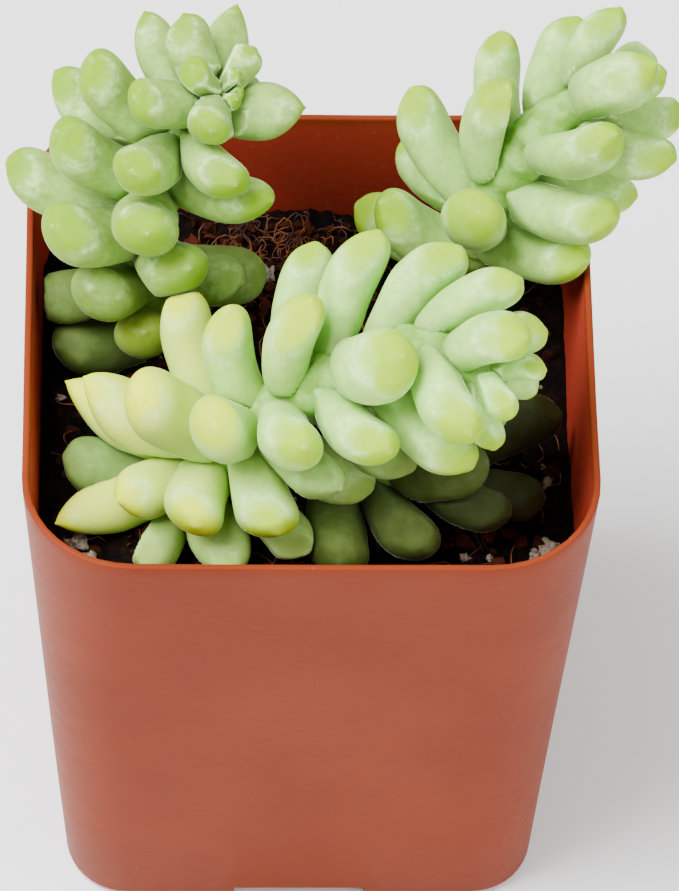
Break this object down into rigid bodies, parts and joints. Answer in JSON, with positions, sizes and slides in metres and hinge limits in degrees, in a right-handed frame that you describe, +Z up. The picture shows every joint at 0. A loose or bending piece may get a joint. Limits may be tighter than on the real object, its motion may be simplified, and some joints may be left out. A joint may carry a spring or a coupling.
{
  "type": "potted burros tail plant",
  "caption": "Small square terracotta-coloured plastic nursery pot of soil with plump blue-green burro's tail succulent shoots.",
  "frame": {"origin": "on the surface that the pot stands on, under the middle of the whole plant", "axes": "+Z up, +Y towards the back, +X to the right as the plant is seen from the front"},
  "size_m": [0.076, 0.0644, 0.1045],
  "materials": {
    "pot_plastic": "satin moulded terracotta-coloured plastic",
    "potting_soil": "coarse peat and coir soil with a few pale perlite grains",
    "stem": "matt yellow-green succulent stem",
    "leaf": "waxy pale blue-green leaf with a yellow-green tip and a whitish bloom"
  },
  "bodies": {
    "root": {"front_leaf_01": "leaf", "front_leaf_02": "leaf", "front_leaf_03": "leaf", "front_leaf_04": "leaf", "front_leaf_05": "leaf", "front_leaf_06": "leaf", "front_leaf_07": "leaf", "front_leaf_08": "leaf", "front_leaf_09": "leaf", "front_leaf_10": "leaf", "front_leaf_11": "leaf", "front_leaf_12": "leaf", "front_leaf_13": "leaf", "front_leaf_14": "leaf", "front_leaf_15": "leaf", "front_leaf_16": "leaf", "front_leaf_17": "leaf", "front_leaf_18": "leaf", "front_leaf_19": "leaf", "front_leaf_20": "leaf", "front_stem": "stem", "left_leaf_01": "leaf", "left_leaf_02": "leaf", "left_leaf_03": "leaf", "left_leaf_04": "leaf", "left_leaf_05": "leaf", "left_leaf_06": "leaf", "left_leaf_07": "leaf", "left_leaf_08": "leaf", "left_leaf_09": "leaf", "left_leaf_10": "leaf", "left_leaf_11": "leaf", "left_leaf_12": "leaf", "left_leaf_13": "leaf", "left_leaf_14": "leaf", "left_leaf_15": "leaf", "left_leaf_16": "leaf", "left_leaf_17": "leaf", "left_stem": "stem", "low_leaf_01": "leaf", "low_leaf_02": "leaf", "low_leaf_03": "leaf", "low_leaf_04": "leaf", "low_stem": "stem", "pot": "pot_plastic", "right_leaf_01": "leaf", "right_leaf_02": "leaf", "right_leaf_03": "leaf", "right_leaf_04": "leaf", "right_leaf_05": "leaf", "right_leaf_06": "leaf", "right_leaf_07": "leaf", "right_leaf_08": "leaf", "right_leaf_09": "leaf", "right_leaf_10": "leaf", "right_leaf_11": "leaf", "right_leaf_12": "leaf", "right_leaf_13": "leaf", "right_stem": "stem", "soil": "potting_soil"}
  },
  "joints": []
}
